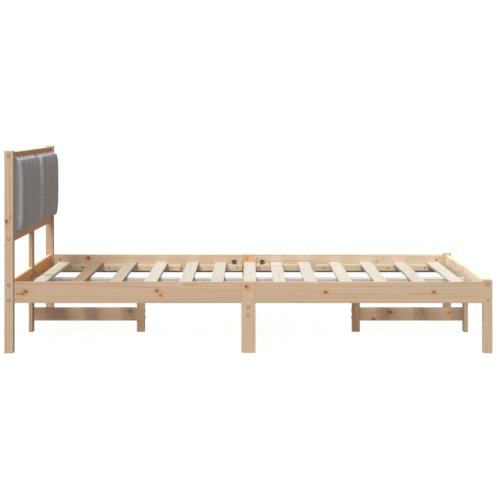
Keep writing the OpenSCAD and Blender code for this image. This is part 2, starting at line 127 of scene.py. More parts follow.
def fade(tree, value, start, end, low=0.0, high=1.0):
    """Smooth step of a value, from low at start to high at end."""
    inputs = {"Value": value, "From Min": start, "From Max": end, "To Min": low, "To Max": high}
    return add(tree, "ShaderNodeMapRange", inputs, interpolation_type="SMOOTHSTEP").outputs[0]


def noise(tree, vector, scale, offset=(0.0, 0.0, 0.0), detail=2.0, roughness=0.5):
    """Noise with its own scale along each axis, in features per metre."""
    stretched = add(tree, "ShaderNodeMapping", {"Vector": vector, "Location": offset, "Scale": scale})
    inputs = {"Vector": stretched.outputs[0], "Scale": 1.0, "Detail": detail, "Roughness": roughness}
    return add(tree, "ShaderNodeTexNoise", inputs)


def finish_named(name):
    """An empty material with its node tree, its Principled BSDF and its Object coordinates."""
    material = bpy.data.materials.new(name)
    material.use_nodes = True
    tree = material.node_tree
    place = add(tree, "ShaderNodeTexCoord").outputs["Object"]
    return material, tree, tree.nodes["Principled BSDF"], place


print("node helpers ready")

# %% [markdown]
# ## Floor
# The bed stands on a pale studio floor that melts into a white background. To the camera, and in
# reflections, the floor adds a white glow to a little diffuse shading, so that it is white where it
# is lit and still holds the bed's soft shadow. To all other light it is a plain grey surface.


# %% Floor
FLOOR_SIZE = 40.0


def seen_directly(tree):
    """1 for camera rays, reflections and light through glass, 0 for light that bounces."""
    path = add(tree, "ShaderNodeLightPath").outputs
    either = maths(tree, "ADD", path["Is Camera Ray"], path["Is Glossy Ray"])
    total = add(tree, "ShaderNodeMath", {0: either, 1: path["Is Transmission Ray"]}, operation="ADD")
    total.use_clamp = True
    return total.outputs[0]


bm = bmesh.new()
bmesh.ops.create_grid(bm, x_segments=1, y_segments=1, size=FLOOR_SIZE / 2)
floor_mesh = bpy.data.meshes.new("floor")
bm.to_mesh(floor_mesh)
bm.free()
floor = bpy.data.objects.new("floor", floor_mesh)
bpy.context.scene.collection.objects.link(floor)

floor_finish = bpy.data.materials.new("studio_floor")
floor_finish.use_nodes = True
tree = floor_finish.node_tree
tree.nodes.remove(tree.nodes["Principled BSDF"])
grey = add(tree, "ShaderNodeBsdfDiffuse", {"Color": (0.20, 0.195, 0.19, 1.0)})
shade = add(tree, "ShaderNodeBsdfDiffuse", {"Color": (0.12, 0.12, 0.12, 1.0)})
glow = add(tree, "ShaderNodeEmission", {"Color": (1.0, 1.0, 1.0, 1.0), "Strength": 0.92})
white = add(tree, "ShaderNodeAddShader", {0: glow.outputs[0], 1: shade.outputs[0]})
choice = {0: seen_directly(tree), 1: grey.outputs[0], 2: white.outputs[0]}
both = add(tree, "ShaderNodeMixShader", choice)
tree.links.new(both.outputs[0], tree.nodes["Material Output"].inputs["Surface"])
floor_mesh.materials.append(floor_finish)
print(f"floor {FLOOR_SIZE:.0f} m square, white to the camera")

# %% [markdown]
# ## Light
# In the photograph the faces towards the head of the bed are the brightest, the near side is a
# little darker, and the faces towards the foot, with the cushions on them, are lit only from
# around. Two wide suns stand in front, one above the other and a little towards the head, so the
# headboard's soft shadow falls on the far rail. A small one above them draws the crisp shadow
# between the cushions. Two come from the head end. The high one shines in under the headboard onto
# the first slat and leaves the second one in shadow. One above the bed whitens all that faces up,
# and a weak one in front, towards the foot, shows the channels.


# %% Light
def lamp(name, towards, level, width):
    """A sun of a given width in degrees. Level 1 lights a facing surface to its own colour."""
    sun = bpy.data.lights.new(name, "SUN")
    sun.energy = level * math.pi
    sun.angle = math.radians(width)
    made = bpy.data.objects.new(name, sun)
    made.rotation_euler = Vector(towards).to_track_quat("Z", "Y").to_euler()
    bpy.context.scene.collection.objects.link(made)


lamp("key", (-0.28, -1.0, 0.55), 0.29, 20)
lamp("key_high", (-0.3, -1.0, 1.0), 0.18, 22)
lamp("crisp", (-0.3, -1.0, 1.6), 0.21, 3)
lamp("above", (-0.1, -0.1, 1.0), 0.36, 50)
lamp("head_high", (-1.0, -0.1, 1.6), 0.30, 18)
lamp("head_low", (-1.0, -0.05, 0.1), 0.65, 40)
lamp("foot_fill", (1.0, -2.5, 0.5), 0.16, 30)

world = bpy.data.worlds.new("studio")
world.use_nodes = True
bpy.context.scene.world = world
tree = world.node_tree
around = tree.nodes["Background"]
around.inputs["Color"].default_value = (1.0, 0.98, 0.96, 1.0)
around.inputs["Strength"].default_value = 0.12
backdrop = add(tree, "ShaderNodeBackground", {"Color": (1.0, 1.0, 1.0, 1.0), "Strength": 1.0})
choice = {0: seen_directly(tree), 1: around.outputs[0], 2: backdrop.outputs[0]}
both = add(tree, "ShaderNodeMixShader", choice)
tree.links.new(both.outputs[0], tree.nodes["World Output"].inputs["Surface"])
bpy.context.scene.view_settings.view_transform = "Standard"
print("seven lamps and a white backdrop")

# %% [markdown]
# ## Pine
# A board is a straight cut through a trunk, so the same growth rings make its long lines, the arches
# on its flat faces and the arcs on its ends. A picture wrapped round a board can't do that, but a
# solid pattern can: the colour comes from the distance to the middle of the trunk, a line beside
# the board that leans a little. Knots are the roots of branches, round rods across the board with a
# dark rim and a reddish halo, and the rings bend round them. Each board is cut elsewhere in the
# tree, from its own seed.

# %% Which way the grain runs
RUNS = {
    "z": ["head_post", "foot_post", "headboard_centre_post", "head_centre_leg", "foot_centre_leg",
          "side_leg", "mid_leg"],
    "y": ["headboard_top_rail", "headboard_lower_rail", "head_end_rail", "foot_end_rail",
          "cross_beam", "slat_0", "slat_1"],
    "x": ["side_rail", "ledger", "inner_ledger", "centre_beam", "low_brace"],
}
TURNS = {"x": (0.0, 0.0, 0.0), "y": (0.0, 0.0, -math.pi / 2), "z": (0.0, math.pi / 2, 0.0)}


def grain_axis(name):
    for axis, starts in RUNS.items():
        if name.startswith(tuple(starts)) and not name.endswith("screws"):
            return axis
    return None


boards = {name: grain_axis(name) for name in nodes if grain_axis(name)}
counts = [sum(run == axis for run in boards.values()) for axis in "xyz"]
print(f"{len(boards)} boards: {counts[0]} along the bed, {counts[1]} across, {counts[2]} upright")

# %% [markdown]
# The knots that the photograph shows are listed, in metres: where the knot is, the way its rod runs
# through the board, its radius, and how far it is drawn out along the grain, where that is more than a
# little. Two boards have pale ones. The other boards get theirs from their seeds.

# %% Knots
KNOTS = {
    "side_rail_head_left": [((-0.939, -0.6, 0.259), "y", 0.0066), ((-0.951, -0.6, 0.249), "y", 0.0048),
                            ((-0.968, -0.6, 0.249), "y", 0.0016, 7.0),
                            ((-0.385, -0.6, 0.263), "y", 0.0050), ((-0.370, -0.6, 0.242), "y", 0.0036)],
    "side_rail_foot_left": [((0.326, -0.6, 0.256), "y", 0.0052), ((0.783, -0.6, 0.2565), "y", 0.0052)],
    "head_post_left": [((-1.017, -0.6, 0.555), "y", 0.0055)],
    "foot_post_left": [],
    "side_leg_left": [((-0.0086, -0.6, 0.280), "y", 0.0050)],
    "side_leg_right": [((-0.009, 0.6, 0.279), "y", 0.0075)],
    "side_rail_head_right": [((-0.813, 0.6, 0.282), "y", 0.0075)],
    "side_rail_foot_right": [((0.0445, 0.6, 0.279), "y", 0.0022), ((0.044, 0.6, 0.2625), "y", 0.0022)],
    "ledger_head_left": [], "ledger_foot_left": [], "ledger_foot_right": [],
    "inner_ledger_head_right": [], "inner_ledger_foot_right": [],
    "ledger_head_right": [((-0.838, 0.6, 0.237), "y", 0.0036)],
    "low_brace_foot": [((0.658, 0.0, 0.090), "y", 0.0075), ((0.582, 0.0, 0.058), "y", 0.0055),
                       ((0.93, 0.0, 0.088), "y", 0.0035)],
    "low_brace_head": [((-0.551, 0.0, 0.094), "y", 0.0055, 1.9)],
}
FAINT_KNOTS = {"side_leg_right": 0.35, "low_brace_head": 0.5}


def seeded_knots(name, axis, rng):
    """Knots at places of the board's own, through its broad faces. Slats have few and small ones."""
    low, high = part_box(name)
    size = high - low
    run = "xyz".index(axis)
    through = min((k for k in range(3) if k != run), key=lambda k: size[k])
    slat = name.startswith("slat_")
    found = []
    for _ in range(rng.choice([0, 1, 1] if slat else [1, 1, 2])):
        place = [low[k] + size[k] * rng.uniform(0.15, 0.85) for k in range(3)]
        radius = rng.uniform(0.0015, 0.0030) if slat else rng.uniform(0.0035, 0.0075)
        found.append((tuple(place), "xyz"[through], radius))
    return found


board_knots = {}
for name, axis in boards.items():
    board_knots[name] = KNOTS[name] if name in KNOTS else seeded_knots(name, axis, random.Random(name))
print(f"{sum(map(len, board_knots.values()))} knots, {sum(map(len, KNOTS.values()))} placed by hand")

# %% [markdown]
# Resin colours the wood here and there without a knot: a soft reddish blush, drawn out along the
# grain. Each is a place, its half length along the grain, its half width, and how much of it shows.

# %% Blushes
BLUSHES = {
    "head_post_left": [
        ((-1.001, -0.6, 0.574), 0.016, 0.009, 0.75),
        ((-1.012, -0.6, 0.535), 0.03, 0.008, 0.35),
    ],
    "side_rail_head_left": [
        ((-0.372, -0.6, 0.252), 0.022, 0.014, 0.4),
        ((-0.60, -0.6, 0.29), 0.2, 0.006, 0.2),
    ],
    "side_rail_foot_left": [
        ((0.742, -0.6, 0.251), 0.055, 0.0045, 0.75),
        ((0.41, -0.6, 0.236), 0.12, 0.006, 0.2),
    ],
    "side_leg_left": [((0.003, -0.6, 0.277), 0.014, 0.015, 0.5)],
    "side_leg_right": [((-0.009, 0.6, 0.280), 0.016, 0.014, 0.4)],
    "foot_post_left": [((1.008, -0.6, 0.298), 0.013, 0.022, 0.6)],
    "side_rail_foot_right": [((0.651, 0.6, 0.266), 0.012, 0.010, 0.6)],
    "low_brace_foot": [((0.60, 0.0, 0.088), 0.05, 0.008, 0.35)],
}
print(f"{sum(map(len, BLUSHES.values()))} blushes")

# %% [markdown]
# ## Tones
# Pine from different trees isn't all one colour. The near side is an even tan, the far side a little
# paler and the foot rail a creamy sapwood. The rails at the head are pale, but their face towards the
# bed is painted a reddish brown, which is painted warm shade and not the wood's own colour. The slats
# are a paler, whiter wood, and the tones of the first three slats also hold painted light and shade. A
# tone multiplies the four colours of the wood: the soft pale part of a ring, its hard dark line, and
# the pinkish and the greenish streaks that run through it. The first tone whose name starts a board's
# name is the board's.

# %% Tones
PINE = {
    "pale": screen(217, 191, 162), "dark": screen(184, 145, 109),
    "pink": screen(212, 175, 152), "green": screen(201, 182, 150),
}
WHITE_PINE = {
    "pale": screen(240, 231, 219), "dark": screen(214, 198, 176),
    "pink": screen(238, 224, 212), "green": screen(228, 222, 203),
}
TONES = {
    "side_rail_head_right": (1.05, 1.11, 1.17), "side_rail_foot_right": (1.07, 1.19, 1.32),
    "side_leg_right": (1.12, 0.92, 0.7), "head_post_right": (0.93, 0.91, 0.88),
    "foot_end_rail": (1.35, 1.62, 1.8), "foot_centre_leg": (1.22, 1.25, 1.32),
    # The tones of the head end rails and the headboard rails are painted warm shade. They go only on
    # the face towards the foot.
    "head_end_rail": (1.9, 1.0, 0.6), "head_centre_leg": (0.88, 0.8, 0.74),
    "headboard_top_rail": (1.04, 0.7, 0.59), "headboard_lower_rail": (1.3, 0.9, 0.68),
    "sapwood": (1.25, 1.3, 1.3), "low_brace": (1.0, 0.95, 0.9),
    "mid_leg_head": (0.97, 0.9, 0.84), "mid_leg_foot": (0.97, 0.86, 0.76),
    "ledger_head": (1.22, 1.32, 1.36), "inner_ledger_head": (1.18, 1.3, 1.36),
    "ledger_foot": (1.15, 1.28, 1.3), "inner_ledger_foot": (1.15, 1.28, 1.3),
    "centre_beam": (0.97, 1.28, 1.75),
    # Painted light and shade on the first three slats. The first is painted brighter for the light that
    # comes in under the headboard. The second and third are painted darker for the headboard's shadow.
    # This is on top of the lamps' own light and shadow.
    "slat_01": (1.4, 1.32, 1.2), "slat_02": (0.57, 0.455, 0.33), "slat_03": (0.65, 0.595, 0.535),
    "slat_04": (0.76, 0.78, 0.77), "slat_05": (0.78, 0.78, 0.77), "slat_06": (0.75, 0.79, 0.77),
    "slat_08": (0.86, 0.88, 0.91), "slat_": (0.82, 0.83, 0.83),
}
SHADE_SIDED = ("headboard_top_rail", "headboard_lower_rail", "head_end_rail")


def toned(colours, name, rng):
    tone = next((t for start, t in TONES.items() if name.startswith(start)), (1.0, 1.0, 1.0))
    level = rng.uniform(0.97, 1.03)
    return {
        part: (*(min(1.0, c * t * level) for c, t in zip(colour, tone)), 1.0)
        for part, colour in colours.items()
    }


print(f"{len(TONES)} tones besides the plain one, {len(SHADE_SIDED)} kinds of board with a heart side")

# %% [markdown]
# ## The pattern inside a board
# First the board is turned so that its grain runs along the pattern's X axis. Slow noise bends the
# grain, a second mapping puts the middle of the trunk beside the board at a slight lean, and the
# length of what is left across the grain is the distance to it. The fraction of that distance in
# ring widths goes through a ramp: pale, slowly darker, then a hard edge to the next ring.


# %% Growth rings
RING_WIDTH = 0.0046


def ring_pattern(tree, place, name, axis, rng, pushes):
    """How dark a point of the board is from its rings, from 0 to 1, and the turned coordinates."""
    low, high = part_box(name)
    turn = Euler(TURNS[axis])
    middle = turn.to_matrix() @ ((low + high) / 2)
    centred = {"Vector": place, "Location": -middle, "Rotation": turn}
    turned = add(tree, "ShaderNodeMapping", centred).outputs[0]
    seed = (rng.uniform(0, 90), rng.uniform(0, 90), rng.uniform(0, 90))
    bend = noise(tree, turned, (1.6, 6.0, 6.0), seed, detail=1.0).outputs["Color"]
    bend = vectors(tree, "SUBTRACT", bend, (0.5, 0.5, 0.5))
    bend = vectors(tree, "MULTIPLY", bend, (0.0, 0.02, 0.02))
    bent = vectors(tree, "ADD", turned, bend)
    away = rng.choice([-1, 1]) * rng.uniform(0.028, 0.060)
    lean = (0.0, rng.uniform(-0.016, 0.016), rng.uniform(-0.016, 0.016))
    trunk = {"Vector": bent, "Location": (0.0, rng.uniform(-0.02, 0.02), away), "Rotation": lean}
    from_trunk = add(tree, "ShaderNodeMapping", trunk).outputs[0]
    radius = vectors(tree, "LENGTH", vectors(tree, "MULTIPLY", from_trunk, (0.0, 1.0, 1.0)))
    for push in pushes:
        radius = maths(tree, "ADD", radius, push)
    count = maths(tree, "MULTIPLY", radius, 1.0 / RING_WIDTH)
    years = {"W": count, "Scale": 0.45, "Detail": 1.0}
    uneven = add(tree, "ShaderNodeTexNoise", years, noise_dimensions="1D")
    count = maths(tree, "MULTIPLY_ADD", uneven.outputs["Fac"], 2.4, count)
    part = maths(tree, "FRACT", count)
    darkness = [(0.0, 0.0), (0.4, 0.1), (0.82, 0.75), (0.93, 1.0), (1.0, 0.0)]
    stops = [(place_in_ring, (dark, dark, dark, 1.0)) for place_in_ring, dark in darkness]
    return ramp(tree, part, stops).outputs["Color"], turned, seed


print(f"rings every {1000 * RING_WIDTH:.1f} mm")

# %% [markdown]
# A knot is drawn from the distance to its rod, counted in its own radii. Inside 1 is the branch,
# dark at the pith and at the rim and reddish brown between them, then comes a halo of resinous
# wood that fades out at 4. The same distance pushes the rings aside. A ramp ends at 1, so the
# distance is divided by four for it, and its alpha says how much of the knot shows.


# %% Knots in the wood
def knot_rods(tree, place, axis, knots, rng):
    """Distance to each knot in its radii, for its colour, and its push on the rings in metres."""
    seed = (rng.uniform(0, 90), rng.uniform(0, 90), rng.uniform(0, 90))
    rough = noise(tree, place, (150.0, 150.0, 150.0), seed, detail=1.0).outputs["Color"]
    rough = vectors(tree, "SUBTRACT", rough, (0.5, 0.5, 0.5))
    rough = vectors(tree, "MULTIPLY", rough, (0.004, 0.004, 0.004))
    uneven = vectors(tree, "ADD", place, rough)
    distances, pushes = [], []
    for spot, through, radius, *drawn in knots:
        longer = drawn[0] if drawn else 1.25
        scale = [0.0 if a == through else 1 / (radius * (longer if a == axis else 0.9)) for a in "xyz"]
        across = vectors(tree, "SUBTRACT", uneven, spot)
        distance = vectors(tree, "LENGTH", vectors(tree, "MULTIPLY", across, scale))
        distances.append(distance)
        pushes.append(fade(tree, distance, 0.0, 4.0, 1.3 * radius, 0.0))
    return distances, pushes


KNOT_HEART = screen(156, 92, 52)
KNOT_RIM = screen(100, 58, 37)
KNOT_HALO = screen(206, 142, 99)
# Place in the ramp, colour, and how much of it shows
KNOT_STOPS = [
    (0.0, KNOT_RIM, 1.0), (0.06, KNOT_HEART, 0.95), (0.17, KNOT_HEART, 0.9), (0.235, KNOT_RIM, 0.95),
    (0.29, KNOT_HALO, 0.75), (0.5, KNOT_HALO, 0.3), (1.0, KNOT_HALO, 0.0),
]


def paint_blushes(tree, colour, place, axis, blushes):
    """Lays soft reddish patches over the wood. Every blush here is on a face that looks along Y."""
    for spot, length, width, strength in blushes:
        scale = [1 / length if a == axis else 0.0 if a == "y" else 1 / width for a in "xyz"]
        offset = vectors(tree, "SUBTRACT", place, spot)
        away = vectors(tree, "LENGTH", vectors(tree, "MULTIPLY", offset, scale))
        colour = mix(tree, fade(tree, away, 1.3, 0.2, 0.0, strength), colour, KNOT_HALO)
    return colour


def paint_knots(tree, colour, distances, strength=1.0):
    """Lays the knots over the wood."""
    stops = [(stop, (*shade[:3], alpha)) for stop, shade, alpha in KNOT_STOPS]
    for distance in distances:
        quarter = maths(tree, "MULTIPLY", distance, 0.25)
        painted = ramp(tree, quarter, stops)
        shown = maths(tree, "MULTIPLY", painted.outputs["Alpha"], strength)
        colour = mix(tree, shown, colour, painted.outputs["Color"])
    return colour


print("knots ready")

# %% [markdown]
# Slats are often glued up from shorter lengths with a finger joint, two combs of pointed fingers
# pushed into each other. It shows as a dark zigzag across the slat in wood that the glue has
# darkened a little, here with fingers 12 mm long every 7 mm. The first slat's joint is in view.


# %% Finger joints
FINGER_JOINTS = {"slat_01": 0.014, "slat_05": -0.33, "slat_08": 0.41, "slat_12": 0.22}
FINGER_LENGTH = 0.012
HALF_FINGER = 0.0035


def paint_finger_joint(tree, colour, place, y_middle):
    parts = add(tree, "ShaderNodeSeparateXYZ", {0: place}).outputs
    from_middle = maths(tree, "ABSOLUTE", maths(tree, "SUBTRACT", parts["Y"], y_middle))
    colour = mix(tree, fade(tree, from_middle, 0.011, 0.006, 0.0, 0.5), colour, screen(150, 128, 100))
    zigzag = maths(tree, "PINGPONG", parts["X"], HALF_FINGER)
    slope = FINGER_LENGTH / HALF_FINGER
    line = maths(tree, "MULTIPLY_ADD", zigzag, slope, y_middle - FINGER_LENGTH / 2)
    away = maths(tree, "ABSOLUTE", maths(tree, "SUBTRACT", parts["Y"], line))
    return mix(tree, fade(tree, away, 0.0026, 0.0012, 0.0, 0.85), colour, screen(96, 74, 54))


print(f"{len(FINGER_JOINTS)} slats with a finger joint")

# %% [markdown]
# The rest is laid over the rings: broad pinkish and greenish streaks that follow the grain for half a
# metre and more, thin darker lines, and fine fibres, which also make a faint relief. Planed and sanded
# pine is matt, a little smoother on the hard lines. A surface that lies more than 2 mm inside the
# board's box is the wall of a hole. It is painted darker, partly for its cut fibres and partly as
# painted shade inside the hole.


# %% A board's finish
def holes_with_painted_shade(tree, colour, place, name):
    low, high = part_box(name)
    beside = vectors(tree, "ABSOLUTE", vectors(tree, "SUBTRACT", place, (low + high) / 2))
    past_faces = vectors(tree, "SUBTRACT", beside, (high - low) / 2)
    parts = add(tree, "ShaderNodeSeparateXYZ", {0: past_faces}).outputs
    outermost = maths(tree, "MAXIMUM", maths(tree, "MAXIMUM", parts["X"], parts["Y"]), parts["Z"])
    # Painted shade and darker cut fibres: surfaces more than 2 mm inside the board's box are darkened.
    inside = fade(tree, outermost, -0.0016, -0.0032, 0.0, 0.85)
    return mix(tree, inside, colour, screen(88, 60, 40))


def pine_finish(name, axis, colours, shade_colours=None):
    """The wood of one board. Shade colours, where given, are painted shade on its face towards the
    foot.
    """
    rng = random.Random(f"{name} wood")
    material, tree, surface, place = finish_named(f"pine_{name}")
    # Painted shade: where shade colours are given, the face towards the foot is painted in them.
    if shade_colours:
        inner_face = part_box(name)[1].x
        depth = add(tree, "ShaderNodeSeparateXYZ", {0: place}).outputs["X"]
        shadier = fade(tree, depth, inner_face - 0.0025, inner_face - 0.0005)
        colours = {part: mix(tree, shadier, colours[part], shade_colours[part]) for part in colours}
    distances, pushes = knot_rods(tree, place, axis, board_knots[name], rng)
    rings, turned, seed = ring_pattern(tree, place, name, axis, rng, pushes)
    colour = mix(tree, maths(tree, "MULTIPLY", rings, 0.8), colours["pale"], colours["dark"])
    pink = noise(tree, turned, (1.3, 48.0, 30.0), seed, detail=2.0).outputs["Fac"]
    colour = mix(tree, fade(tree, pink, 0.48, 0.68, 0.0, 0.6), colour, colours["pink"])
    green = noise(tree, turned, (1.1, 42.0, 26.0), seed[::-1], detail=2.0).outputs["Fac"]
    colour = mix(tree, fade(tree, green, 0.5, 0.68, 0.0, 0.6), colour, colours["green"])
    lines = noise(tree, turned, (2.2, 170.0, 120.0), seed, detail=2.0).outputs["Fac"]
    colour = mix(tree, fade(tree, lines, 0.56, 0.72, 0.0, 0.45), colour, colours["dark"])
    fibres = noise(tree, turned, (26.0, 1500.0, 1500.0), seed, detail=3.0, roughness=0.6).outputs["Fac"]
    level = maths(tree, "MULTIPLY_ADD", fibres, 0.16, 0.92)
    grey = add(tree, "ShaderNodeCombineColor", {0: level, 1: level, 2: level}).outputs[0]
    colour = mix(tree, 1.0, colour, grey, "MULTIPLY")
    colour = paint_blushes(tree, colour, place, axis, BLUSHES.get(name, []))
    colour = paint_knots(tree, colour, distances, FAINT_KNOTS.get(name, 1.0))
    if name in FINGER_JOINTS:
        colour = paint_finger_joint(tree, colour, place, FINGER_JOINTS[name])
    colour = holes_with_painted_shade(tree, colour, place, name)
    tree.links.new(colour, surface.inputs["Base Color"])
    rough = maths(tree, "MULTIPLY_ADD", rings, -0.1, 0.62)
    tree.links.new(rough, surface.inputs["Roughness"])
    surface.inputs["Specular IOR Level"].default_value = 0.07
    height = maths(tree, "MULTIPLY_ADD", rings, 0.5, fibres)
    relief = add(tree, "ShaderNodeBump", {"Strength": 0.25, "Distance": 0.0004, "Height": height})
    tree.links.new(relief.outputs[0], surface.inputs["Normal"])
    return material


def dress(node_name, material):
    for slot in nodes[node_name].material_slots:
        slot.material = material


for name, axis in boards.items():
    wood = WHITE_PINE if name.startswith("slat_") else PINE
    colours = toned(wood, name, random.Random(f"{name} tone"))
    # These boards get painted warm shade on their face towards the foot and the sapwood tone everywhere
    # else.
    if name.startswith(SHADE_SIDED):
        sapwood = toned(wood, "sapwood", random.Random(f"{name} tone"))
        dress(name, pine_finish(name, axis, sapwood, shade_colours=colours))
    else:
        dress(name, pine_finish(name, axis, colours))
print(f"{len(boards)} boards have their own wood")

# %% [markdown]
# ## Zinc-plated steel
# The bolts, nuts, studs and screws are steel with a thin zinc plating: a dull grey metal with faint
# cloudy spots and fine scratches. Only the roughness and a little of the colour vary. The bolts'
# heads are brighter than the nuts and screws, which have dulled.


# %% Steel
def zinc_finish(name, dark, light):
    material, tree, surface, place = finish_named(name)
    clouds = noise(tree, place, (260.0, 260.0, 260.0), detail=3.0).outputs["Fac"]
    colour = mix(tree, fade(tree, clouds, 0.35, 0.7), dark, light)
    tree.links.new(colour, surface.inputs["Base Color"])
    scratches = noise(tree, place, (300.0, 2600.0, 2600.0), detail=2.0).outputs["Fac"]
    rough = maths(tree, "MULTIPLY_ADD", clouds, 0.22, 0.26)
    tree.links.new(maths(tree, "MULTIPLY_ADD", scratches, 0.12, rough), surface.inputs["Roughness"])
    surface.inputs["Metallic"].default_value = 1.0
    relief = add(tree, "ShaderNodeBump", {"Strength": 0.15, "Distance": 0.0001, "Height": scratches})
    tree.links.new(relief.outputs[0], surface.inputs["Normal"])
    return material


BRIGHT_STEEL = ["post_bolts", "brace_bolts", "beam_bolts"]
DULL_STEEL = [
    "barrel_nuts", "leg_studs", "half_moon_nuts",
    "slat_screws", "ledger_screws", "board_screws",
]
zinc = zinc_finish("zinc_plating", screen(166, 153, 138), screen(196, 184, 170))
dull_zinc = zinc_finish("dull_zinc", screen(92, 84, 76), screen(124, 115, 105))
for name in BRIGHT_STEEL:
    dress(name, zinc)
for name in DULL_STEEL:
    dress(name, dull_zinc)
print(f"{len(BRIGHT_STEEL) + len(DULL_STEEL)} kinds of fastener in zinc")

# %% [markdown]
# ## Plywood and dowels
# The boards behind the cushions are thin plywood. Its faces show a broad, quiet veneer figure, and
# its edges five plies, every second one with its end grain outwards, which looks darker. The depth
# into the board, counted in plies, tells them apart. The dowels are beech, and stay hidden.


# %% Plywood and dowels
PLIES = 5


def plywood_finish(name):
    low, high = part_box(name)
    material, tree, surface, place = finish_named(f"plywood_{name}")
    depth = add(tree, "ShaderNodeSeparateXYZ", {0: place}).outputs["X"]
    thickness = high.x - low.x
    plies = maths(tree, "MULTIPLY_ADD", depth, PLIES / thickness, -PLIES * low.x / thickness)
    crosswise = fade(tree, maths(tree, "PINGPONG", plies, 1.0), 0.4, 0.6)
    figure = noise(tree, place, (40.0, 34.0, 3.2), detail=3.0).outputs["Fac"]
    figure = maths(tree, "FRACT", maths(tree, "MULTIPLY", figure, 7.0))
    figure = maths(tree, "MULTIPLY", figure, 0.35)
    colour = mix(tree, figure, screen(214, 186, 146), screen(184, 148, 106))
    pores = noise(tree, place, (900.0, 900.0, 40.0), detail=2.0).outputs["Fac"]
    colour = mix(tree, fade(tree, pores, 0.55, 0.75, 0.0, 0.35), colour, screen(150, 112, 76))
    inside = maths(tree, "MULTIPLY", crosswise, 0.45)
    colour = mix(tree, inside, colour, screen(140, 102, 68))
    tree.links.new(colour, surface.inputs["Base Color"])
    surface.inputs["Roughness"].default_value = 0.7
    surface.inputs["Specular IOR Level"].default_value = 0.2
    relief = add(tree, "ShaderNodeBump", {"Strength": 0.2, "Distance": 0.0003, "Height": pores})
    tree.links.new(relief.outputs[0], surface.inputs["Normal"])
    return material


def beech_finish():
    material, tree, surface, place = finish_named("beech")
    flecks = noise(tree, place, (500.0, 500.0, 500.0), detail=2.0).outputs["Fac"]
    colour = mix(tree, fade(tree, flecks, 0.4, 0.7), screen(220, 188, 146), screen(190, 150, 108))
    tree.links.new(colour, surface.inputs["Base Color"])
    surface.inputs["Roughness"].default_value = 0.6
    return material


for side in ("left", "right"):
    dress(f"cushion_board_{side}", plywood_finish(f"cushion_board_{side}"))
dress("dowels", beech_finish())
print("plywood boards and beech dowels")

# %% [markdown]
# ## Cushions
# Each cushion is a plywood board with foam on it, under one piece of grey fabric that is sewn into
# five upright channels, pulled over the edges of the board and stapled behind it. The front starts
# as a flat grid whose columns crowd towards the seams. Its edge is then extruded backwards, ring
# by ring, down beside the board, inwards at its back and up along its edge to the foam, where one
# face closes the form.
# Each profile is a power and a root: a high power keeps the middle flat, and a low root makes the
# end steep. The outer channels stay full right up to the cushion's sides.


# %% Shape of a cushion
CHANNELS = 5
CHANNEL_COLUMNS = 12
COLUMNS = CHANNEL_COLUMNS * CHANNELS
ROWS = 48
# Depths in front of the board
CROWN = 0.0325
OUTER_CROWN = 0.0300
SEAM = 0.011
RIM = 0.004
# How far the front's outline lies inside the cushion's box: at its ends, more at the top, at the
# ends of the seams, at the corners, and at its sides
SHRINK = 0.0035
TOP_SHRINK = 0.003
NOTCH = 0.008
CORNER_DROP = 0.005
SIDE_GAP = 0.0015
SIDE_TAPER = 0.006
# Profiles
ROUND_CHANNEL = (2.2, 0.5)
CREST_ENDS = (2, 0.14)
VALLEY_ENDS = (2.4, 0.5)
SQUARE_SIDES = (60, 0.35)


def rolled(t, profile):
    """Share of the full depth at a place from the middle, 0, to the edge, 1 or -1."""
    power, root = profile
    return max(0.0, 1.0 - abs(t) ** power) ** root


def crowded(part, share):
    """A place from 0 to 1, moved towards the nearer end. The share is 0 for evenly spread places."""
    return (1 - share) * part + share * (1 - math.cos(math.pi * part)) / 2


def front_place(across, along, half_width, half_height):
    """Depth, sideways and upright place of a point of the front, from its places of -1 to 1."""
    channel = (across + 1) / 2 * CHANNELS
    crown = OUTER_CROWN if channel < 1 or channel > CHANNELS - 1 else CROWN
    beyond_crests = channel < 0.5 or channel > CHANNELS - 0.5
    swell = 1.0 if beyond_crests else rolled(2 * (channel % 1.0) - 1, ROUND_CHANNEL)
    crest = (crown - RIM) * rolled(along, CREST_ENDS)
    valley = (SEAM - RIM) * rolled(along, VALLEY_ENDS)
    depth = RIM + (valley + (crest - valley) * swell) * rolled(across, SQUARE_SIDES)
    sideways = across * (half_width - SIDE_GAP - SIDE_TAPER * abs(along) ** 12)
    shrink = SHRINK + (TOP_SHRINK if along > 0 else 0.0)
    notch = NOTCH * (1 - swell) * abs(along) ** 8
    upright = along * (half_height - shrink - notch - CORNER_DROP * abs(across) ** 20)
    return depth, sideways, upright


# Rings behind the front: place in front of the board's front face, and inset from the cushion's box
RINGS = [(0.0012, 0.0006), (-0.0045, 0.0008), (-0.0086, 0.0010), (-0.0087, 0.0022), (0.0003, 0.0022)]
FIRST_SHARP_RING = 2
COLUMN_CROWDING = 0.8
ROW_CROWDING = 0.85


